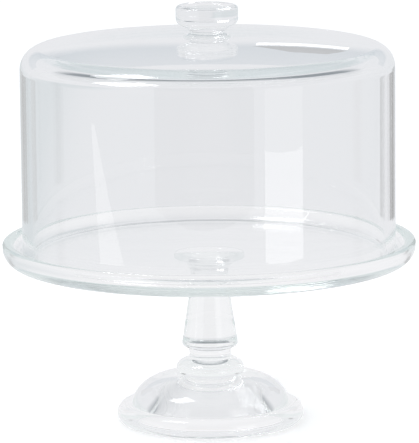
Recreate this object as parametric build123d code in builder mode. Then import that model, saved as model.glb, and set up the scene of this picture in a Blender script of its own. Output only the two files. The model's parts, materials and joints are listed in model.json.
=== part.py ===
from build123d import *
from math import sqrt
import os

# Clear glass cake stand with a lift-off dome. Units are millimetres.
# +Z is up, and the origin is on the axis at table level. Every piece is turned about Z.

# Pedestal: one pressed foot and stem
foot_radius = 69.0
foot_edge_radius = 7.5
foot_land_width = 7.5
foot_cavity_height = 31.0
bell_base_radius = 57.8
bell_height = 22.5
bell_top_radius = 24.0
bead_fullness = 3.6
bead_height = 11.5
neck_radius = 15.4
neck_height = 7.6
stem_shoulder_radius = 20.9
stem_shoulder_height = 2.2
stem_shoulder_round = 3.0
stem_top_radius = 13.9
stem_taper_height = 46.2
flange_radius = 26.0
flange_thickness = 3.2
flange_flare_height = 13.0
flange_edge_round = 0.8

# Cured adhesive layers
plate_bond_thickness = 0.3
plate_bond_setback = 0.5
knob_bond_thickness = 0.3
knob_bond_setback = 0.5

# Plate with a raised rim
plate_diameter = 305.0
plate_floor_thickness = 8.0
rim_height = 9.0
rim_width = 7.0
rim_round = 2.9
plate_side_lean = 1.0
plate_corner_round = 14.5
well_wall_run = 4.5
well_corner_round = 4.0

# Dome
dome_seat_clearance = 3.5
dome_wall = 7.5
dome_corner_height = 150.0
dome_crown_rise = 9.0
dome_roof_thickness = 8.0
dome_shoulder_round = 16.0
dome_inner_shoulder_round = 8.5
dome_lip_round = 2.5
crown_pad_radius = 18.5

# Knob
knob_base_radius = 17.5
knob_base_edge = 1.0
knob_waist_radius = 12.8
knob_waist_height = 3.6
knob_head_height = 9.6
knob_head_radius = 22.9
knob_head_thickness = 13.2
knob_top_round = 3.0
knob_bottom_round = 5.0

# Length of a cubic curve's handles, as a share of the radius, that makes it a quarter ellipse
quarter_ellipse_handle = 0.5523

# Levels, worked out from the sizes above
foot_edge_centre = foot_radius - foot_edge_radius
crease_depth = foot_edge_centre - bell_base_radius
crease_level = foot_edge_radius + sqrt(foot_edge_radius**2 - crease_depth**2)
bell_top_level = crease_level + bell_height
neck_level = bell_top_level + bead_height
shoulder_base_level = neck_level + neck_height
shoulder_level = shoulder_base_level + stem_shoulder_height
waist_level = shoulder_level + stem_taper_height
flange_base_level = waist_level + flange_flare_height
pedestal_top_level = flange_base_level + flange_thickness
plate_base_level = pedestal_top_level + plate_bond_thickness
plate_floor_level = plate_base_level + plate_floor_thickness
rim_top_level = plate_floor_level + rim_height
plate_radius = plate_diameter / 2
rim_inner_radius = plate_radius - rim_width
well_floor_radius = rim_inner_radius - well_wall_run
dome_radius = well_floor_radius - dome_seat_clearance
dome_inner_radius = dome_radius - dome_wall
dome_corner_level = plate_floor_level + dome_corner_height
crown_level = dome_corner_level + dome_crown_rise
ceiling_corner_level = dome_corner_level - dome_roof_thickness
ceiling_level = crown_level - dome_roof_thickness
knob_base_level = crown_level + knob_bond_thickness
knob_head_level = knob_base_level + knob_head_height
knob_top_level = knob_head_level + knob_head_thickness

os.makedirs("parts", exist_ok=True)


# The pedestal's bell is hollow below, and stands on a flat ring of its round edge.
with BuildPart() as pedestal:
    with BuildSketch(Plane.XZ) as pedestal_section:
        with BuildLine() as pedestal_outline:
            land_inner_radius = foot_edge_centre - foot_land_width
            bell_run = bell_base_radius - bell_top_radius
            bead_run = bell_top_radius - neck_radius
            Polyline(
                (0, foot_cavity_height),
                (0, pedestal_top_level),
                (flange_radius, pedestal_top_level),
                (flange_radius, flange_base_level),
            )
            Bezier(
                (flange_radius, flange_base_level),
                (stem_top_radius, flange_base_level - 0.2 * flange_flare_height),
                (stem_top_radius, waist_level),
            )
            Polyline(
                (stem_top_radius, waist_level),
                (stem_shoulder_radius, shoulder_level),
                (neck_radius, shoulder_base_level),
                (neck_radius, neck_level),
            )
            Bezier(
                (neck_radius, neck_level),
                (neck_radius + 0.75 * bead_run, neck_level),
                (bell_top_radius + bead_fullness, bell_top_level + 0.5 * bead_height),
                (bell_top_radius, bell_top_level),
            )
            Bezier(
                (bell_top_radius, bell_top_level),
                (bell_top_radius + 0.4 * bell_run, bell_top_level),
                (bell_base_radius - 0.03 * bell_run, crease_level + 0.7 * bell_height),
                (bell_base_radius, crease_level),
            )
            ThreePointArc(
                (bell_base_radius, crease_level),
                (foot_radius, foot_edge_radius),
                (foot_edge_centre, 0),
            )
            Line((foot_edge_centre, 0), (land_inner_radius, 0))
            Bezier(
                (land_inner_radius, 0),
                (land_inner_radius, quarter_ellipse_handle * foot_cavity_height),
                (quarter_ellipse_handle * land_inner_radius, foot_cavity_height),
                (0, foot_cavity_height),
            )
        make_face()
        shoulder_corner = pedestal_section.vertices().filter_by_position(
            Axis.Y, shoulder_level - 0.01, shoulder_level + 0.01
        )
        fillet(shoulder_corner, stem_shoulder_round)
        flange_corners = pedestal_section.vertices().filter_by_position(
            Axis.X, flange_radius - 0.01, flange_radius + 0.01
        )
        fillet(flange_corners, min(flange_edge_round, 0.3 * flange_thickness))
    revolve(axis=Axis.Z)
pedestal.part.label = "pedestal"
export_step(pedestal.part, "parts/pedestal.step")


# The plate's adhesive stops a little inside the flange's edge.
with BuildPart() as plate_bond:
    with BuildSketch(Plane.XY.offset(pedestal_top_level)) as plate_bond_section:
        Circle(flange_radius - plate_bond_setback)
    extrude(amount=plate_bond_thickness)
plate_bond.part.label = "plate_bond"
export_step(plate_bond.part, "parts/plate_bond.step")


# The plate is a shallow dish: flat floor, round rim and a large outer corner below.
with BuildPart() as plate:
    with BuildSketch(Plane.XZ) as plate_section:
        with BuildLine() as plate_outline:
            Polyline(
                (0, plate_base_level),
                (plate_radius - plate_side_lean, plate_base_level),
                (plate_radius, rim_top_level),
                (rim_inner_radius, rim_top_level),
                (well_floor_radius, plate_floor_level),
                (0, plate_floor_level),
                close=True,
            )
        make_face()
        rim_corners = plate_section.vertices().group_by(Axis.Y)[-1]
        fillet(rim_corners, min(rim_round, 0.45 * rim_width))
        outer_corner = plate_section.vertices().group_by(Axis.Y)[0].sort_by(Axis.X)[-1]
        plate_height = plate_floor_thickness + rim_height
        fillet(outer_corner, min(plate_corner_round, 0.85 * (plate_height - rim_round)))
        well_corner = plate_section.vertices().filter_by_position(
            Axis.Y, plate_floor_level - 0.01, plate_floor_level + 0.01
        )
        fillet(well_corner.sort_by(Axis.X)[-1], min(well_corner_round, 0.5 * rim_height))
    revolve(axis=Axis.Z)
plate.part.label = "plate"
export_step(plate.part, "parts/plate.step")


# The dome's round lip stands on the plate's floor, inside the rim.
with BuildPart() as dome_shell:
    with BuildSketch(Plane.XZ) as dome_section:
        with BuildLine() as dome_outline:
            Line((0, ceiling_level), (0, crown_level))
            Line((0, crown_level), (crown_pad_radius, crown_level))
            TangentArc(
                (crown_pad_radius, crown_level), (dome_radius, dome_corner_level), tangent=(1, 0)
            )
            Polyline(
                (dome_radius, dome_corner_level),
                (dome_radius, plate_floor_level),
                (dome_inner_radius, plate_floor_level),
                (dome_inner_radius, ceiling_corner_level),
            )
            RadiusArc(
                (dome_inner_radius, ceiling_corner_level),
                (0, ceiling_level),
                -(dome_inner_radius**2 + dome_crown_rise**2) / (2 * dome_crown_rise),
            )
        make_face()
        lip_corners = dome_section.vertices().group_by(Axis.Y)[0]
        fillet(lip_corners, min(dome_lip_round, 0.4 * dome_wall))
        shoulder_corner = dome_section.vertices().filter_by_position(
            Axis.Y, dome_corner_level - 0.01, dome_corner_level + 0.01
        )
        fillet(shoulder_corner, dome_shoulder_round)
        inner_corner = dome_section.vertices().filter_by_position(
            Axis.Y, ceiling_corner_level - 0.01, ceiling_corner_level + 0.01
        )
        fillet(inner_corner, dome_inner_shoulder_round)
    revolve(axis=Axis.Z)
dome_shell.part.label = "dome_shell"
export_step(dome_shell.part, "parts/dome_shell.step")


# The knob's adhesive stops a little inside the edge of its base.
with BuildPart() as knob_bond:
    with BuildSketch(Plane.XY.offset(crown_level)) as knob_bond_section:
        Circle(knob_base_radius - knob_bond_setback)
    extrude(amount=knob_bond_thickness)
knob_bond.part.label = "knob_bond"
export_step(knob_bond.part, "parts/knob_bond.step")


# The knob: a thick round head on a waist that spreads to its base.
with BuildPart() as dome_knob:
    with BuildSketch(Plane.XZ) as knob_section:
        with BuildLine() as knob_outline:
            knob_waist_level = knob_base_level + knob_waist_height
            knob_neck_rise = knob_head_height - knob_waist_height
            Polyline(
                (knob_head_radius, knob_head_level),
                (knob_head_radius, knob_top_level),
                (0, knob_top_level),
                (0, knob_base_level),
                (knob_base_radius, knob_base_level),
                (knob_base_radius, knob_base_level + knob_base_edge),
            )
            Bezier(
                (knob_base_radius, knob_base_level + knob_base_edge),
                (knob_waist_radius, knob_base_level + knob_base_edge),
                (knob_waist_radius, knob_waist_level),
            )
            Bezier(
                (knob_waist_radius, knob_waist_level),
                (knob_waist_radius, knob_waist_level + 0.3 * knob_neck_rise),
                (knob_head_radius, knob_head_level),
            )
        make_face()
        top_corner = knob_section.vertices().group_by(Axis.Y)[-1].sort_by(Axis.X)[-1]
        fillet(top_corner, min(knob_top_round, 0.25 * knob_head_thickness))
        bottom_corner = knob_section.vertices().filter_by_position(
            Axis.Y, knob_head_level - 0.01, knob_head_level + 0.01
        )
        fillet(bottom_corner, min(knob_bottom_round, 0.4 * knob_head_thickness))
    revolve(axis=Axis.Z)
dome_knob.part.label = "dome_knob"
export_step(dome_knob.part, "parts/dome_knob.step")

print("overall height", round(knob_top_level, 1), "plate diameter", plate_diameter)
print("levels", [round(v, 2) for v in (crease_level, bell_top_level, neck_level, shoulder_level,
      waist_level, pedestal_top_level, plate_floor_level, rim_top_level, dome_corner_level, crown_level)])
print("radii", [round(v, 2) for v in (plate_radius, rim_inner_radius, well_floor_radius, dome_radius,
      dome_inner_radius)])
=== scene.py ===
import json
import logging
import math
from dataclasses import dataclass
from enum import Enum

import bpy
from mathutils import Matrix, Vector

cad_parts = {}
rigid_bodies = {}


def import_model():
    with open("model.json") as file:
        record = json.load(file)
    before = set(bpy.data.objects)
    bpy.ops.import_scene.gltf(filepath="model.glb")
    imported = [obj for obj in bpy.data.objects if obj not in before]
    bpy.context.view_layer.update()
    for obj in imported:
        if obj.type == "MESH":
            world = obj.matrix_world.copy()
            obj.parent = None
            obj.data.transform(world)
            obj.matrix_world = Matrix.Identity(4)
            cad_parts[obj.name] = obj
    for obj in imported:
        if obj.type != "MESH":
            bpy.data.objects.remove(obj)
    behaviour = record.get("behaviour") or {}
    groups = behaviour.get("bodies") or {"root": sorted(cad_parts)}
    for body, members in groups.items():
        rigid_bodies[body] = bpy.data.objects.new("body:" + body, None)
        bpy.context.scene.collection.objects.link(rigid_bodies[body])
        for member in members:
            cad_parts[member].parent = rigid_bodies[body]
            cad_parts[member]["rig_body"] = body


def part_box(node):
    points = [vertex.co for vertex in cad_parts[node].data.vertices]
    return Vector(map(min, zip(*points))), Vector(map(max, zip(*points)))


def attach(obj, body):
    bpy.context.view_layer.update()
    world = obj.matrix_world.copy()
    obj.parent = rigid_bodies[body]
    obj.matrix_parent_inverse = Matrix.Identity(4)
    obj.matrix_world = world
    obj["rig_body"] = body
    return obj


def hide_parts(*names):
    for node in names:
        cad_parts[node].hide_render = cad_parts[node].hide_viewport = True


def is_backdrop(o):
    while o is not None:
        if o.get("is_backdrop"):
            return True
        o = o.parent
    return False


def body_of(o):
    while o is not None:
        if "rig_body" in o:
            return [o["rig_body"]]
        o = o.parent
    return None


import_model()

LOG = logging.getLogger("cake_stand")
MM = 0.001
PHOTO_WIDTH_PX = 419
PHOTO_HEIGHT_PX = 443

# The sRGB curve: straight up to its knee, and a power of the shifted value above it
SRGB_KNEE = 0.04045
SRGB_SLOPE = 12.92
SRGB_SHIFT = 0.055
SRGB_POWER = 2.4

# The colour mix node has several sockets of each name, so they are picked by number
MIX_FACTOR = 0
MIX_FROM = 6
MIX_TO = 7
MIX_RESULT = 2
COLOUR_MIX = {"data_type": "RGBA"}
EASED = {"interpolation_type": "SMOOTHSTEP"}

# A ring of a turned mesh with a smaller radius than this is one point on the axis
AXIS_RADIUS = 1e-7
# A straight run into a rounded corner is cut into pieces of about this length
STRAIGHT_STEP = 4 * MM
# Length of a cubic curve's handles, as a share of the radius, that makes it a quarter ellipse
QUARTER_ELLIPSE = 0.5523

# How many bounces are traced between glass faces, through transparent faces and off the paper
GLASS_BOUNCES = 40
TRANSPARENT_BOUNCES = 32
DIFFUSE_BOUNCES = 2

WHITE = (1.0, 1.0, 1.0, 1.0)

Point = tuple[float, float]
Place = tuple[float, float, float]
Colour = tuple[float, float, float, float]


class Slot(Enum):
    """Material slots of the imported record."""

    STAND = "stand_glass"
    DOME = "dome_glass"
    ADHESIVE = "clear_adhesive"


def linear(hex_colour: str) -> Colour:
    """Turn an sRGB hex colour into linear light.

    Args:
        hex_colour: Six hex digits, with or without a leading hash.

    Returns:
        Red, green, blue and an alpha of one.
    """
    digits = hex_colour.lstrip("#")
    channels = [int(digits[i : i + 2], 16) / 255 for i in (0, 2, 4)]
    red, green, blue = [
        c / SRGB_SLOPE if c <= SRGB_KNEE else ((c + SRGB_SHIFT) / (1 + SRGB_SHIFT)) ** SRGB_POWER
        for c in channels
    ]
    return red, green, blue, 1.0


def add_node(
    tree: bpy.types.NodeTree,
    kind: str,
    settings: dict[str, object] | None = None,
    inputs: dict[str | int, object] | None = None,
) -> bpy.types.Node:
    """Add one node with its settings, values and links.

    Args:
        tree: The node tree that takes the node.
        kind: Blender's type name of the node.
        settings: Properties of the node, by name.
        inputs: Per input name or number, a value or an output socket to link.

    Returns:
        The new node.
    """
    node = tree.nodes.new(kind)
    for name, value in (settings or {}).items():
        setattr(node, name, value)
    for name, value in (inputs or {}).items():
        if isinstance(value, bpy.types.NodeSocket):
            tree.links.new(value, node.inputs[name])
        else:
            node.inputs[name].default_value = value
    return node


def blank_material(name: str) -> bpy.types.Material:
    """Make a material with an empty node tree.

    Args:
        name: What the material is.

    Returns:
        The new material.
    """
    material = bpy.data.materials.new(name)
    material.use_nodes = True
    material.node_tree.nodes.clear()
    return material


def add_object(name: str, data: bpy.types.ID) -> bpy.types.Object:
    """Put a new object in the scene.

    Args:
        name: The object's name.
        data: Its mesh, light or camera.

    Returns:
        The new object.
    """
    made = bpy.data.objects.new(name, data)
    bpy.context.scene.collection.objects.link(made)
    return made


def add_panel(name: str, corners: list[Place], finish: bpy.types.Material) -> bpy.types.Object:
    """Put a flat four-sided face in the scene.

    Args:
        name: The object's name.
        corners: Its four corners, in order.
        finish: Its material.

    Returns:
        The new object.
    """
    mesh = bpy.data.meshes.new(name)
    mesh.from_pydata(corners, [], [(0, 1, 2, 3)])
    mesh.materials.append(finish)
    return add_object(name, mesh)


@dataclass(frozen=True)
class ClearGlass:
    """Soda-lime glass: colourless face on, with a faint cool green where light runs far through it.

    Lengths are in metres. The waves are the slow unevenness that pressing leaves on a fire-polished
    face: they bend what shows through the glass a little, without dulling it. The ripples are finer
    rings about the axis. Light that is caught between the faces for many bounces is cut off and
    replaced by a painted glow: an even, cool grey emission in place of the light it still carries.
    """

    name: str
    body: str = "#FFFFFF"
    depth_tint: str = "#D5EDE6"
    tint_per_metre: float = 1.2
    ior: float = 1.51
    smoothest: float = 0.0
    dullest: float = 0.006
    polish_span: Point = (0.3, 0.7)
    wave_length: float = 45 * MM
    wave_depth: float = 0.05 * MM
    ripple_length: float = 5 * MM
    ripple_depth: float = 0.006 * MM
    ripple_detail: float = 2.0
    ripple_drift: float = 0.08
    lamp_pass: float = 0.94
    # Past this many bounces the glass stops tracing and gives off a painted glow, an even cool grey
    # in place of the light still caught in it
    bounces_followed: int = 18
    painted_glow_tone: str = "#E0E4E6"

    def material(self) -> bpy.types.Material:
        """Build the glass, which lets most of a lamp's light through to what is behind it.

        Returns:
            The new material.
        """
        made = blank_material(self.name)
        tree = made.node_tree
        normal, roughness = self.uneven_face(tree)
        glass = add_node(tree, "ShaderNodeBsdfPrincipled", {}, {
            "Base Color": linear(self.body),
            "Transmission Weight": 1.0,
            "IOR": self.ior,
            "Roughness": roughness,
            "Normal": normal,
        })
        clear = add_node(tree, "ShaderNodeBsdfTransparent", {}, {
            "Color": (self.lamp_pass, self.lamp_pass, self.lamp_pass, 1.0),
        })
        path = add_node(tree, "ShaderNodeLightPath")
        # Painted glow: past the bounces followed, the glass emits an even cool grey instead of
        # tracing the light further
        long_caught = add_node(tree, "ShaderNodeMath", {"operation": "GREATER_THAN"}, {
            0: path.outputs["Ray Depth"],
            1: self.bounces_followed,
        })
        painted_glow = add_node(tree, "ShaderNodeEmission", {}, {"Color": linear(self.painted_glow_tone)})
        glass_with_painted_glow = add_node(tree, "ShaderNodeMixShader", {}, {
            0: long_caught.outputs["Value"],
            1: glass.outputs["BSDF"],
            2: painted_glow.outputs["Emission"],
        })
        lets_lamps_by = add_node(tree, "ShaderNodeMixShader", {}, {
            0: path.outputs["Is Shadow Ray"],
            1: glass_with_painted_glow.outputs["Shader"],
            2: clear.outputs["BSDF"],
        })
        depth = add_node(tree, "ShaderNodeVolumeAbsorption", {}, {
            "Color": linear(self.depth_tint),
            "Density": self.tint_per_metre,
        })
        add_node(tree, "ShaderNodeOutputMaterial", {}, {
            "Surface": lets_lamps_by.outputs["Shader"],
            "Volume": depth.outputs["Volume"],
        })
        return made

    def uneven_face(self, tree: bpy.types.NodeTree) -> tuple[bpy.types.NodeSocket, ...]:
        """Add the face's waves and ripples.

        Args:
            tree: The glass's node tree.

        Returns:
            The sockets of the normal and of the roughness.
        """
        place = add_node(tree, "ShaderNodeTexCoord").outputs["Object"]
        waves = add_node(tree, "ShaderNodeTexNoise", {"noise_dimensions": "3D"}, {
            "Vector": place,
            "Scale": 1 / self.wave_length,
            "Detail": 0.0,
        })
        relief = add_node(tree, "ShaderNodeBump", {}, {
            "Strength": 1.0,
            "Distance": self.wave_depth,
            "Height": waves.outputs["Fac"],
        })
        split = add_node(tree, "ShaderNodeSeparateXYZ", {}, {"Vector": place})
        flat = add_node(tree, "ShaderNodeCombineXYZ", {}, {
            "X": split.outputs["X"],
            "Y": split.outputs["Y"],
        })
        reach = add_node(tree, "ShaderNodeVectorMath", {"operation": "LENGTH"}, {
            0: flat.outputs["Vector"],
        })
        drift = add_node(tree, "ShaderNodeMath", {"operation": "MULTIPLY"}, {
            0: split.outputs["X"],
            1: self.ripple_drift,
        })
        turned_place = add_node(tree, "ShaderNodeCombineXYZ", {}, {
            "X": reach.outputs["Value"],
            "Y": drift.outputs["Value"],
            "Z": split.outputs["Z"],
        })
        rings = add_node(tree, "ShaderNodeTexNoise", {"noise_dimensions": "3D"}, {
            "Vector": turned_place.outputs["Vector"],
            "Scale": 1 / self.ripple_length,
            "Detail": self.ripple_detail,
            "Roughness": 0.5,
        })
        ripple = add_node(tree, "ShaderNodeBump", {}, {
            "Strength": 1.0,
            "Distance": self.ripple_depth,
            "Height": rings.outputs["Fac"],
            "Normal": relief.outputs["Normal"],
        })
        polish = add_node(tree, "ShaderNodeMapRange", {}, {
            "Value": waves.outputs["Fac"],
            "From Min": self.polish_span[0],
            "From Max": self.polish_span[1],
            "To Min": self.smoothest,
            "To Max": self.dullest,
        })
        return ripple.outputs["Normal"], polish.outputs["Result"]


@dataclass(frozen=True)
class Span:
    """One smooth stretch of a turned outline: points of radius and height, and their normals."""

    points: tuple[Point, ...]
    normals: tuple[Point, ...]


class Outline:
    """The half section of a turned piece, walked with the glass on the left hand."""

    def __init__(self, radius: float, height: float) -> None:
        """Start the walk at a radius and a height."""
        self.spans: list[Span] = []
        self.at: Point = (radius, height)

    def line(self, radius: float, height: float, steps: int = 1) -> "Outline":
        """Walk straight to a point.

        Args:
            radius: Radius of the end.
            height: Height of the end.
            steps: How many equal pieces the stretch is cut into.

        Returns:
            The outline itself.
        """
        r0, z0 = self.at
        run, rise = radius - r0, height - z0
        length = math.hypot(run, rise)
        points = [(r0 + run * i / steps, z0 + rise * i / steps) for i in range(steps + 1)]
        return self._keep(points, [(rise / length, -run / length)] * (steps + 1))

    def arc(
        self, centre: Point, radius: float, start: float, end: float, steps: int = 12
    ) -> "Outline":
        """Walk round an arc.

        Args:
            centre: Radius and height of the arc's centre.
            radius: The arc's own radius.
            start: Angle of its first point, in degrees from outwards.
            end: Angle of its last point; a larger angle turns left.
            steps: How many pieces the arc is cut into.

        Returns:
            The outline itself.
        """
        angles = [math.radians(start + (end - start) * i / steps) for i in range(steps + 1)]
        side = 1.0 if end > start else -1.0
        ways = [(math.cos(a), math.sin(a)) for a in angles]
        points = [(centre[0] + radius * c, centre[1] + radius * s) for c, s in ways]
        return self._keep(points, [(side * c, side * s) for c, s in ways])

    def curve(self, *handles: Point, steps: int) -> "Outline":
        """Walk along a Bezier curve from here.

        Args:
            *handles: The curve's handles, the last of them its end.
            steps: How many pieces the curve is cut into.

        Returns:
            The outline itself.
        """
        points, normals = [], []
        for i in range(steps + 1):
            t = i / steps
            level = [self.at, *handles]
            while len(level) > 2:
                level = [
                    (a[0] + (b[0] - a[0]) * t, a[1] + (b[1] - a[1]) * t)
                    for a, b in zip(level, level[1:])
                ]
            a, b = level
            run, rise = b[0] - a[0], b[1] - a[1]
            length = math.hypot(run, rise)
            points.append((a[0] + run * t, a[1] + rise * t))
            normals.append((rise / length, -run / length))
        return self._keep(points, normals)

    def corner(self, tip: Point, beyond: Point, radius: float, steps: int = 8) -> "Outline":
        """Walk to a rounded corner and round it.

        Args:
            tip: The corner as it would be if it were sharp.
            beyond: A point further along the outline after the corner.
            radius: The rounding's radius.
            steps: How many pieces the rounding is cut into.

        Returns:
            The outline itself.
        """
        into = Vector((tip[0] - self.at[0], tip[1] - self.at[1])).normalized()
        out = Vector((beyond[0] - tip[0], beyond[1] - tip[1])).normalized()
        turn = -into.angle_signed(out)
        setback = radius * math.tan(abs(turn) / 2)
        side = 1.0 if turn > 0 else -1.0
        start = Vector(tip) - into * setback
        centre = start + Vector((-into.y, into.x)) * radius * side
        first = math.degrees(math.atan2(start.y - centre.y, start.x - centre.x))
        straight_steps = max(1, round((start - Vector(self.at)).length / STRAIGHT_STEP))
        self.line(start.x, start.y, straight_steps)
        return self.arc((centre.x, centre.y), radius, first, first + math.degrees(turn), steps)

    def curve_to_side(self, *handles: Point, radius: float, steps: int) -> "Outline":
        """Walk along a curve to an upright side, and round the edge where they meet.

        Args:
            *handles: The curve's handles, the last of them its sharp end on the side.
            radius: The rounding's radius.
            steps: How many pieces the whole curve would be cut into.

        Returns:
            The outline itself, which goes on up the side.
        """
        inset = handles[-1][0] - radius
        whole = self.curve(*handles, steps=steps).spans.pop()
        points, normals = whole.points, whole.normals
        centres = [(p[0] - n[0] * radius, p[1] - n[1] * radius) for p, n in zip(points, normals)]
        cut = next(i for i, c in enumerate(centres) if i and c[0] >= inset)
        (r0, z0), (r1, z1) = centres[cut - 1], centres[cut]
        share = (inset - r0) / (r1 - r0)
        touch, normal = (
            tuple(a + (b - a) * share for a, b in zip(row[cut - 1], row[cut]))
            for row in (points, normals)
        )
        self._keep([*points[:cut], touch], [*normals[:cut], normal])
        start = math.degrees(math.atan2(normal[1], normal[0]))
        return self.arc((inset, z0 + (z1 - z0) * share), radius, start, 0)

    def _keep(self, points: list[Point], normals: list[Point]) -> "Outline":
        """Add a span to the walk.

        Args:
            points: The span's points.
            normals: The normal at each.

        Returns:
            The outline itself, now at the span's end.
        """
        self.spans.append(Span(tuple(points), tuple(normals)))
        self.at = points[-1]
        return self


def turned(name: str, outline: Outline, facets: int = 256) -> bpy.types.Object:
    """Turn an outline about the vertical axis into a closed mesh with true normals.

    Args:
        name: The piece's name.
        outline: Its half section, from one point of the axis to another.
        facets: How many facets go round it.

    Returns:
        The new object.
    """
    rings: list[Point] = [outline.spans[0].points[0]]
    strips: list[tuple[Point, Point]] = []
    for span in outline.spans:
        rings.extend(span.points[1:])
        strips.extend(zip(span.normals, span.normals[1:]))
    angles = [2 * math.pi * k / facets for k in range(facets)]
    around = [(math.cos(angle), math.sin(angle)) for angle in angles]
    vertices: list[Place] = []
    first: list[int] = []
    for radius, height in rings:
        first.append(len(vertices))
        if radius < AXIS_RADIUS:
            vertices.append((0.0, 0.0, height))
        else:
            vertices.extend((radius * c, radius * s, height) for c, s in around)
    faces: list[tuple[int, ...]] = []
    normals: list[Place] = []
    for i, (low, high) in enumerate(strips):
        low_pole, high_pole = rings[i][0] < AXIS_RADIUS, rings[i + 1][0] < AXIS_RADIUS
        for k in range(facets):
            n = (k + 1) % facets
            a, b = first[i] + (0 if low_pole else k), first[i] + (0 if low_pole else n)
            c, d = first[i + 1] + (0 if high_pole else n), first[i + 1] + (0 if high_pole else k)
            corners = [(a, low, k), (b, low, n), (c, high, n), (d, high, k)]
            if low_pole:
                corners = [(a, low, k), (c, high, n), (d, high, k)]
            elif high_pole:
                corners = [(a, low, k), (b, low, n), (c, high, k)]
            faces.append(tuple(v for v, _, _ in corners))
            normals.extend((nr * around[j][0], nr * around[j][1], nz) for _, (nr, nz), j in corners)
    mesh = bpy.data.meshes.new(name)
    mesh.from_pydata(vertices, [], faces)
    mesh.shade_smooth()
    mesh.normals_split_custom_set(normals)
    mesh.validate()
    return add_object(name, mesh)


def fit_out(
    piece: bpy.types.Object, finish: bpy.types.Material, body: str, node: str
) -> None:
    """Give a piece its finish, and have it ride on a body in place of a CAD node.

    Args:
        piece: The piece.
        finish: Its material.
        body: The body that carries it.
        node: The CAD node that it replaces.
    """
    piece.data.materials.append(finish)
    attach(piece, body)
    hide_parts(node)
    LOG.info("%s: %d faces, in place of %s", piece.name, len(piece.data.polygons), node)


@dataclass
class FootedPlate:
    """The stand: a pressed foot and stem under a shallow plate, joined by a film of adhesive.

    Lengths are in metres. A pull or a lift is a share of the run or the height that it bends.
    """

    finish: ClearGlass
    film: ClearGlass
    foot_edge: float = 7.5 * MM
    foot_land: float = 7.5 * MM
    cavity_height: float = 31 * MM
    bell_base: float = 57.8 * MM
    bell_base_pull: float = 0.03
    bell_base_lift: float = 0.7
    bell_height: float = 22.5 * MM
    bell_top: float = 24 * MM
    bell_top_pull: float = 0.4
    bead_fullness: float = 3.6 * MM
    bead_height: float = 11.5 * MM
    bead_widest: float = 0.5
    neck: float = 15.4 * MM
    neck_pull: float = 0.75
    neck_height: float = 7.6 * MM
    shoulder: float = 20.9 * MM
    shoulder_height: float = 2.2 * MM
    shoulder_round: float = 3 * MM
    waist: float = 13.9 * MM
    taper_height: float = 46.2 * MM
    flange: float = 26 * MM
    flange_flare: float = 13 * MM
    flare_drop: float = 0.2
    flange_round: float = 0.8 * MM
    film_setback: float = 0.5 * MM
    film_bite: float = 0.04 * MM
    floor_thickness: float = 8 * MM
    side_lean: float = 1 * MM
    plate_reach: float = 152.45 * MM
    rim_width: float = 7 * MM
    rim_round: float = 2.9 * MM
    under_round: float = 11.985 * MM
    well_run: float = 4.5 * MM
    well_round: float = 4 * MM

    def build(self) -> None:
        """Build the pedestal, the film and the plate."""
        glass = self.finish.material()
        fit_out(self.pedestal(), glass, "stand", "pedestal")
        fit_out(self.bond(), self.film.material(), "stand", "plate_bond")
        fit_out(self.plate(), glass, "stand", "plate")

    def pedestal(self) -> bpy.types.Object:
        """Turn the foot and stem, from the hollow's crown down, round the foot and up the stem.

        Returns:
            The new object.
        """
        _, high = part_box("pedestal")
        top = high.z
        centre = high.x - self.foot_edge
        land = centre - self.foot_land
        crease_angle = math.acos((self.bell_base - centre) / self.foot_edge)
        crease = self.foot_edge + self.foot_edge * math.sin(crease_angle)
        bell_top = crease + self.bell_height
        neck_base = bell_top + self.bead_height
        shoulder_base = neck_base + self.neck_height
        shoulder = shoulder_base + self.shoulder_height
        waist = shoulder + self.taper_height
        flare = waist + self.flange_flare
        run, bead_run = self.bell_base - self.bell_top, self.bell_top - self.neck
        walk = Outline(0, self.cavity_height)
        walk.curve(
            (QUARTER_ELLIPSE * land, self.cavity_height),
            (land, QUARTER_ELLIPSE * self.cavity_height),
            (land, 0),
            steps=28,
        )
        walk.line(centre, 0, steps=2)
        edge_end = math.degrees(crease_angle)
        walk.arc((centre, self.foot_edge), self.foot_edge, -90, edge_end, steps=28)
        bell_bend = crease + self.bell_base_lift * self.bell_height
        walk.curve(
            (self.bell_base - self.bell_base_pull * run, bell_bend),
            (self.bell_top + self.bell_top_pull * run, bell_top),
            (self.bell_top, bell_top),
            steps=28,
        )
        walk.curve(
            (self.bell_top + self.bead_fullness, bell_top + self.bead_widest * self.bead_height),
            (self.neck + self.neck_pull * bead_run, neck_base),
            (self.neck, neck_base),
            steps=20,
        )
        walk.line(self.neck, shoulder_base, steps=3)
        walk.corner((self.shoulder, shoulder), (self.waist, waist), self.shoulder_round)
        walk.line(self.waist, waist, steps=12)
        walk.curve_to_side(
            (self.waist, flare - self.flare_drop * self.flange_flare),
            (self.flange, flare),
            radius=self.flange_round,
            steps=40,
        )
        walk.corner((self.flange, top), (0, top), self.flange_round, steps=4)
        walk.line(0, top, steps=6)
        return turned("glass_pedestal", walk)

    def bond(self) -> bpy.types.Object:
        """Turn the adhesive film, which bites a hair into both pieces so light crosses it cleanly.

        Returns:
            The new object.
        """
        low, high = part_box("plate_bond")
        reach = self.flange - self.film_setback
        base, top = low.z - self.film_bite, high.z + self.film_bite
        walk = Outline(0, base).line(reach, base, steps=6).line(reach, top).line(0, top, steps=6)
        return turned("plate_adhesive", walk)

    def plate(self) -> bpy.types.Object:
        """Turn the plate, from the middle of its underside, round the rim and back over the floor.

        Returns:
            The new object.
        """
        low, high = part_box("plate")
        base, rim_top = low.z, high.z
        floor = base + self.floor_thickness
        inner = self.plate_reach - self.rim_width
        well = inner - self.well_run
        side = (self.plate_reach, rim_top)
        walk = Outline(0, base)
        walk.corner((self.plate_reach - self.side_lean, base), side, self.under_round, steps=20)
        walk.corner(side, (inner, rim_top), self.rim_round, steps=12)
        walk.corner((inner, rim_top), (well, floor), self.rim_round, steps=12)
        walk.corner((well, floor), (0, floor), self.well_round, steps=12)
        walk.line(0, floor, steps=40)
        return turned("glass_plate", walk)


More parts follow.
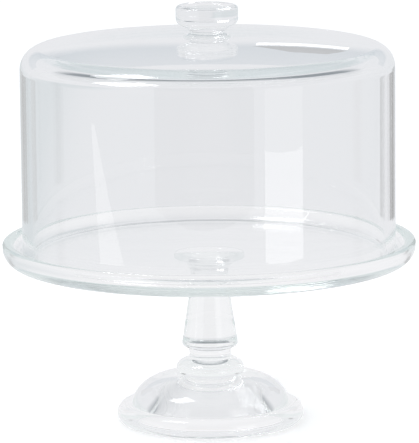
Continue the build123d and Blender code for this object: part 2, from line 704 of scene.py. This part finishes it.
@dataclass
class LiftOffDome:
    """The dome: a thick straight-sided shell with a low crown, and a knob joined on top.

    Lengths are in metres. A lift is a share of the height that it bends.
    """

    finish: ClearGlass
    film: ClearGlass
    wall: float = 7.5 * MM
    roof: float = 8 * MM
    crown_rise: float = 9 * MM
    shoulder_round: float = 16 * MM
    inner_round: float = 8.5 * MM
    lip_round: float = 2.5 * MM
    crown_pad: float = 18.5 * MM
    knob_base: float = 17.5 * MM
    knob_base_edge: float = 1 * MM
    knob_waist: float = 12.8 * MM
    knob_waist_height: float = 3.6 * MM
    knob_neck_lift: float = 0.3
    knob_head_height: float = 9.6 * MM
    knob_top_round: float = 3 * MM
    knob_bottom_round: float = 5 * MM
    film_setback: float = 0.5 * MM
    film_bite: float = 0.04 * MM

    def build(self) -> None:
        """Build the shell, the film and the knob."""
        glass = self.finish.material()
        fit_out(self.shell(), glass, "dome", "dome_shell")
        fit_out(self.bond(), self.film.material(), "dome", "knob_bond")
        fit_out(self.knob(), glass, "dome", "dome_knob")

    def shell(self) -> bpy.types.Object:
        """Turn the shell, from the ceiling down its inside, round the lip and up over the crown.

        Returns:
            The new object.
        """
        low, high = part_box("dome_shell")
        reach, base, crown = high.x, low.z, high.z
        inner = reach - self.wall
        ceiling = crown - self.roof
        ceiling_radius = (inner**2 + self.crown_rise**2) / (2 * self.crown_rise)
        ceiling_centre = ceiling - ceiling_radius
        bend_run = inner - self.inner_round
        bend_rise = math.sqrt((ceiling_radius - self.inner_round) ** 2 - bend_run**2)
        bend_start = math.degrees(math.atan2(bend_rise, bend_run))
        crown_run = reach - self.crown_pad
        crown_radius = (crown_run**2 + self.crown_rise**2) / (2 * self.crown_rise)
        crown_centre = (self.crown_pad, crown - crown_radius)
        shoulder_run = reach - self.shoulder_round - self.crown_pad
        shoulder_rise = math.sqrt((crown_radius - self.shoulder_round) ** 2 - shoulder_run**2)
        shoulder = (reach - self.shoulder_round, crown_centre[1] + shoulder_rise)
        shoulder_end = math.degrees(math.atan2(shoulder_rise, shoulder_run))
        lip = base + self.lip_round
        walk = Outline(0, ceiling)
        walk.arc((0, ceiling_centre), ceiling_radius, 90, bend_start, steps=36)
        walk.arc((bend_run, ceiling_centre + bend_rise), self.inner_round, bend_start, 0, steps=16)
        walk.line(inner, lip, steps=40)
        walk.arc((inner + self.lip_round, lip), self.lip_round, 180, 270, steps=10)
        walk.line(reach - self.lip_round, base)
        walk.arc((reach - self.lip_round, lip), self.lip_round, -90, 0, steps=10)
        walk.line(reach, shoulder[1], steps=40)
        walk.arc(shoulder, self.shoulder_round, 0, shoulder_end, steps=22)
        walk.arc(crown_centre, crown_radius, shoulder_end, 90, steps=36)
        walk.line(0, crown, steps=5)
        return turned("glass_dome", walk)

    def bond(self) -> bpy.types.Object:
        """Turn the adhesive film under the knob, which bites a hair into both pieces.

        Returns:
            The new object.
        """
        low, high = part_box("knob_bond")
        reach = self.knob_base - self.film_setback
        base, top = low.z - self.film_bite, high.z + self.film_bite
        walk = Outline(0, base).line(reach, base, steps=5).line(reach, top).line(0, top, steps=5)
        return turned("knob_adhesive", walk)

    def knob(self) -> bpy.types.Object:
        """Turn the knob, from the middle of its base, up the waist and round the head.

        Returns:
            The new object.
        """
        low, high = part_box("dome_knob")
        base, top, head = low.z, high.z, high.x
        edge = base + self.knob_base_edge
        waist = base + self.knob_waist_height
        head_base = base + self.knob_head_height
        neck_rise = head_base - waist
        walk = Outline(0, base)
        walk.line(self.knob_base, base, steps=5)
        walk.line(self.knob_base, edge)
        walk.curve((self.knob_waist, edge), (self.knob_waist, waist), steps=12)
        walk.curve_to_side(
            (self.knob_waist, waist + self.knob_neck_lift * neck_rise),
            (head, head_base),
            radius=self.knob_bottom_round,
            steps=40,
        )
        walk.corner((head, top), (0, top), self.knob_top_round, steps=12)
        walk.line(0, top, steps=6)
        return turned("glass_knob", walk)


@dataclass
class Card:
    """A flat card or flag of the light tent, which only rays from the glass see.

    The bearing is in degrees from straight behind the object, positive to the right in the photo,
    and the card faces the axis. Its top may be narrower than its foot and shifted sideways, and its
    tone may rise softly from another one at the foot. A card that is mirrored only doesn't show
    through the glass. Lengths are in metres.
    """

    name: str
    bearing: float
    distance: float
    width: float
    low: float
    high: float
    brightness: float
    tint: str = "#FFFFFF"
    top_width: float = 1.0
    top_shift: float = 0.0
    soft_rise: float = 0.0
    soft_from: str = "#FFFFFF"
    mirrored_only: bool = True

    def build(self) -> None:
        """Stand the card up and finish it."""
        half, away = self.width / 2, self.distance
        left, right = (self.top_shift + side * half * self.top_width for side in (-1, 1))
        card = add_panel(self.name, [
            (-half, away, self.low),
            (half, away, self.low),
            (right, away, self.high),
            (left, away, self.high),
        ], self.material())
        card.matrix_world = Matrix.Rotation(-math.radians(self.bearing), 4, "Z")
        card.visible_camera = False
        card.visible_shadow = False
        card.visible_diffuse = False
        card.visible_transmission = not self.mirrored_only
        card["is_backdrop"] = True

    def material(self) -> bpy.types.Material:
        """Build the card's glow.

        Returns:
            The new material.
        """
        made = blank_material(self.name)
        tree = made.node_tree
        red, green, blue, alpha = linear(self.tint)
        tone = (red * self.brightness, green * self.brightness, blue * self.brightness, alpha)
        if self.soft_rise:
            place = add_node(tree, "ShaderNodeTexCoord")
            split = add_node(tree, "ShaderNodeSeparateXYZ", {}, {"Vector": place.outputs["Object"]})
            rise = add_node(tree, "ShaderNodeMapRange", EASED, {
                "Value": split.outputs["Z"],
                "From Min": self.low,
                "From Max": self.low + self.soft_rise,
            })
            blend = add_node(tree, "ShaderNodeMix", COLOUR_MIX, {
                MIX_FACTOR: rise.outputs["Result"],
                MIX_FROM: linear(self.soft_from),
                MIX_TO: tone,
            })
            tone = blend.outputs[MIX_RESULT]
        glow = add_node(tree, "ShaderNodeEmission", {}, {"Color": tone})
        add_node(tree, "ShaderNodeOutputMaterial", {}, {"Surface": glow.outputs["Emission"]})
        return made


@dataclass
class Studio:
    """White sweep, a soft lamp and a few cards, as for a cut-out product shot.

    The camera sees white. The glass sees the greyer tent that gives it its own tone, and a sweep
    with
    painted light falloff: lighter near the axis, greyer far off and darker to the left. The stops
    are heights of the tent, from 0 straight down to 1 straight up. The spans are in metres: from
    the axis for far and glow, and along X for left.
    """

    tent_low: str = "#EAEBEE"
    tent_dusk: str = "#B4BFC8"
    tent_gap: str = "#8E959B"
    tent_top: str = "#E4E6E8"
    low_stop: float = 0.5
    gap_stops: tuple[float, float] = (0.62, 0.8)
    top_stop: float = 0.92
    # The sweep as the glass sees it: painted light falloff from near the axis to far off, and
    # painted shade to the left
    sweep_near: str = "#F5F5F7"
    sweep_far_painted_falloff: str = "#E9EAED"
    sweep_left_painted_shade: str = "#D9DEE1"
    sweep_paper: str = "#F4F4F4"
    sweep_half: float = 6.0
    far_span: Point = (0.35, 1.0)
    left_span: Point = (-0.16, -0.42)
    glow_span: Point = (0.1, 0.7)
    glow_near: float = 0.262
    glow_far: float = 0.52
    key_place: Place = (-0.70, -0.19, 1.23)
    key_aim: Place = (-0.06, -0.12, 0.27)
    key_size: tuple[float, float] = (0.46, 0.6)
    key_power: float = 7.5

    def build(self) -> None:
        """Set the world, the floor, the lamp and the cards."""
        self.world()
        self.sweep()
        self.key()
        for card in self.cards():
            card.build()

    def cards(self) -> list[Card]:
        """List the cards and flags that the glass mirrors and bends.

        Returns:
            The cards, not yet built.
        """
        return [
            Card("left_flag", bearing=-42, distance=0.36, width=0.07, low=0.1, high=0.235,
                 brightness=0.5, mirrored_only=False),
            Card("right_flag", bearing=42, distance=0.36, width=0.07, low=0.1, high=0.235,
                 brightness=0.35, mirrored_only=False),
            Card("left_window", bearing=-126, distance=0.75, width=0.24, low=0.0, high=0.14,
                 brightness=2.0, top_width=0.15, top_shift=0.187),
            Card("right_window", bearing=136.6, distance=0.88, width=0.36, low=0.0, high=0.1,
                 brightness=3.0),
            Card("right_window_head", bearing=136.6, distance=0.88, width=0.36, low=0.1, high=0.4,
                 brightness=1.5),
            Card("camera_side_card", bearing=182.2, distance=0.9, width=0.965, low=0.03, high=0.62,
                 brightness=0.02),
            Card("rear_dusk", bearing=0, distance=1.6, width=3.2, low=0.55, high=0.95,
                 brightness=1.0, tint=self.tent_dusk, soft_rise=0.14, soft_from=self.tent_low),
            Card("rear_bright_strip", bearing=5.3, distance=1.5, width=0.14, low=0.578, high=0.615,
                 brightness=1.8),
            Card("rear_dark_strip", bearing=5.3, distance=1.5, width=0.15, low=0.63, high=0.71,
                 brightness=0.1, top_width=0.4, top_shift=0.02),
        ]

    def world(self) -> None:
        """Paint the tent: white to the camera, and graded upwards for the glass."""
        world = bpy.data.worlds.new("light_tent")
        bpy.context.scene.world = world
        world.use_nodes = True
        tree = world.node_tree
        tree.nodes.clear()
        path = add_node(tree, "ShaderNodeLightPath")
        place = add_node(tree, "ShaderNodeTexCoord")
        split = add_node(tree, "ShaderNodeSeparateXYZ", {}, {"Vector": place.outputs["Generated"]})
        ramp = add_node(tree, "ShaderNodeValToRGB", {}, {"Fac": split.outputs["Z"]})
        stops = ramp.color_ramp.elements
        stops[0].position, stops[0].color = self.low_stop, linear(self.tent_low)
        stops[1].position, stops[1].color = self.top_stop, linear(self.tent_top)
        for position in self.gap_stops:
            stops.new(position).color = linear(self.tent_gap)
        tent = add_node(tree, "ShaderNodeBackground", {}, {"Color": ramp.outputs["Color"]})
        white = add_node(tree, "ShaderNodeBackground", {}, {"Color": WHITE})
        shown = add_node(tree, "ShaderNodeMixShader", {}, {
            0: path.outputs["Is Camera Ray"],
            1: tent.outputs["Background"],
            2: white.outputs["Background"],
        })
        add_node(tree, "ShaderNodeOutputWorld", {}, {"Surface": shown.outputs["Shader"]})

    def sweep(self) -> None:
        """Lay the sweep: white with the object's soft shadow, and greyer to the glass, with painted
        light falloff.
        """
        made = blank_material("white_sweep")
        tree = made.node_tree
        path = add_node(tree, "ShaderNodeLightPath")
        place = add_node(tree, "ShaderNodeTexCoord").outputs["Object"]
        split = add_node(tree, "ShaderNodeSeparateXYZ", {}, {"Vector": place})
        reach = add_node(tree, "ShaderNodeVectorMath", {"operation": "LENGTH"}, {0: place})
        distance = reach.outputs["Value"]
        # Painted light falloff for the glass: the sweep it sees is lighter near the axis, greyer
        # far off and darker to the left
        far = add_node(tree, "ShaderNodeMapRange", EASED, {
            "Value": distance,
            "From Min": self.far_span[0],
            "From Max": self.far_span[1],
        })
        left = add_node(tree, "ShaderNodeMapRange", EASED, {
            "Value": split.outputs["X"],
            "From Min": self.left_span[0],
            "From Max": self.left_span[1],
        })
        away = add_node(tree, "ShaderNodeMix", COLOUR_MIX, {
            MIX_FACTOR: far.outputs["Result"],
            MIX_FROM: linear(self.sweep_near),
            MIX_TO: linear(self.sweep_far_painted_falloff),
        })
        painted_falloff_and_shade = add_node(tree, "ShaderNodeMix", COLOUR_MIX, {
            MIX_FACTOR: left.outputs["Result"],
            MIX_FROM: away.outputs[MIX_RESULT],
            MIX_TO: linear(self.sweep_left_painted_shade),
        })
        to_glass = add_node(tree, "ShaderNodeEmission", {}, {"Color": painted_falloff_and_shade.outputs[MIX_RESULT]})
        lift = add_node(tree, "ShaderNodeMapRange", EASED, {
            "Value": distance,
            "From Min": self.glow_span[0],
            "From Max": self.glow_span[1],
            "To Min": self.glow_near,
            "To Max": self.glow_far,
        })
        glow = add_node(tree, "ShaderNodeEmission", {}, {
            "Color": WHITE,
            "Strength": lift.outputs["Result"],
        })
        paper = add_node(tree, "ShaderNodeBsdfDiffuse", {}, {"Color": linear(self.sweep_paper)})
        to_camera = add_node(tree, "ShaderNodeAddShader", {}, {
            0: glow.outputs["Emission"],
            1: paper.outputs["BSDF"],
        })
        shown = add_node(tree, "ShaderNodeMixShader", {}, {
            0: path.outputs["Is Camera Ray"],
            1: to_glass.outputs["Emission"],
            2: to_camera.outputs["Shader"],
        })
        add_node(tree, "ShaderNodeOutputMaterial", {}, {"Surface": shown.outputs["Shader"]})
        half = self.sweep_half
        corners = [(-half, -half, 0), (half, -half, 0), (half, half, 0), (-half, half, 0)]
        sweep = add_panel("white_sweep", corners, made)
        sweep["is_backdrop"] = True

    def key(self) -> None:
        """Hang the lamp, placed by the shoulder's highlight, to light the dome and the sweep."""
        light = bpy.data.lights.new("key_softbox", "AREA")
        light.shape = "RECTANGLE"
        light.size, light.size_y = self.key_size
        light.energy = self.key_power
        lamp = add_object("key_softbox", light)
        aim = Vector(self.key_aim) - Vector(self.key_place)
        facing = aim.to_track_quat("-Z", "Y").to_matrix().to_4x4()
        lamp.matrix_world = Matrix.Translation(self.key_place) @ facing
        lit = bpy.data.collections.new("lit_by_key")
        for piece in bpy.context.scene.objects:
            if piece.type == "MESH" and (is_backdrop(piece) or body_of(piece) == ["dome"]):
                lit.objects.link(piece)
        lamp.light_linking.receiver_collection = lit


@dataclass
class PhotoCamera:
    """The photo's camera, fitted to the outline: far off, a little above and slightly tipped.

    Lengths are in metres, apart from the sensor's side, which is in millimetres. Angles are in
    degrees.
    """

    distance: float = 3.2
    elevation: float = 10.0
    roll: float = 0.55
    aim_height: float = 149.9 * MM
    aim_side: float = 0.45 * MM
    px_per_metre: float = 1357.9
    sensor: float = 36.0
    nearest: float = 0.05
    farthest: float = 50.0

    def build(self) -> None:
        """Place the camera and make it the scene's own."""
        data = bpy.data.cameras.new("photo_camera")
        data.sensor_fit = "HORIZONTAL" if PHOTO_WIDTH_PX > PHOTO_HEIGHT_PX else "VERTICAL"
        data.sensor_width = self.sensor
        data.sensor_height = self.sensor
        long_side = max(PHOTO_WIDTH_PX, PHOTO_HEIGHT_PX)
        data.lens = self.sensor * self.px_per_metre * self.distance / long_side
        data.clip_start = self.nearest
        data.clip_end = self.farthest
        camera = add_object("photo_camera", data)
        rise = math.radians(self.elevation)
        ahead = Vector((0, math.cos(rise), -math.sin(rise)))
        place = Vector((self.aim_side, 0, self.aim_height)) - ahead * self.distance
        level = ahead.to_track_quat("-Z", "Y").to_matrix().to_4x4()
        tip = Matrix.Rotation(-math.radians(self.roll), 4, "Z")
        camera.matrix_world = Matrix.Translation(place) @ level @ tip
        bpy.context.scene.camera = camera


def set_light_paths() -> None:
    """Let light cross every wall of the glass, and show colours plainly."""
    scene = bpy.context.scene
    scene.view_settings.view_transform = "Standard"
    scene.cycles.max_bounces = GLASS_BOUNCES
    scene.cycles.transmission_bounces = GLASS_BOUNCES
    scene.cycles.glossy_bounces = GLASS_BOUNCES
    scene.cycles.transparent_max_bounces = TRANSPARENT_BOUNCES
    scene.cycles.diffuse_bounces = DIFFUSE_BOUNCES


def main() -> None:
    """Build the stand, the dome, the studio and the camera in order."""
    logging.basicConfig(level=logging.INFO, format="%(name)s: %(message)s")
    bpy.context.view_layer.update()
    # Pressed soda-lime glass keeps the mould's waves, so lines seen through it waver
    pressed = ClearGlass(
        "soda_lime_glass_pressed",
        wave_length=32 * MM,
        ripple_length=4 * MM,
        ripple_depth=0.007 * MM,
    )
    # Fire polishing leaves long shallow waves, so the dome's reflections have clean, slow edges
    drawn = ClearGlass(
        "soda_lime_glass_fire_polished",
        depth_tint="#DCEBEE",
        wave_length=60 * MM,
        wave_depth=0.06 * MM,
    )
    # Cured adhesive is clear and faintly warm, and its unevenness shows as a mottled disc
    film = ClearGlass(
        "uv_cured_clear_adhesive",
        depth_tint="#F2EFDC",
        ior=1.49,
        wave_length=7 * MM,
    )
    FootedPlate(pressed, film).build()
    LiftOffDome(drawn, film).build()
    Studio().build()
    LOG.info("studio lit")
    PhotoCamera().build()
    LOG.info("camera placed")
    set_light_paths()


if __name__ == "__main__":
    main()
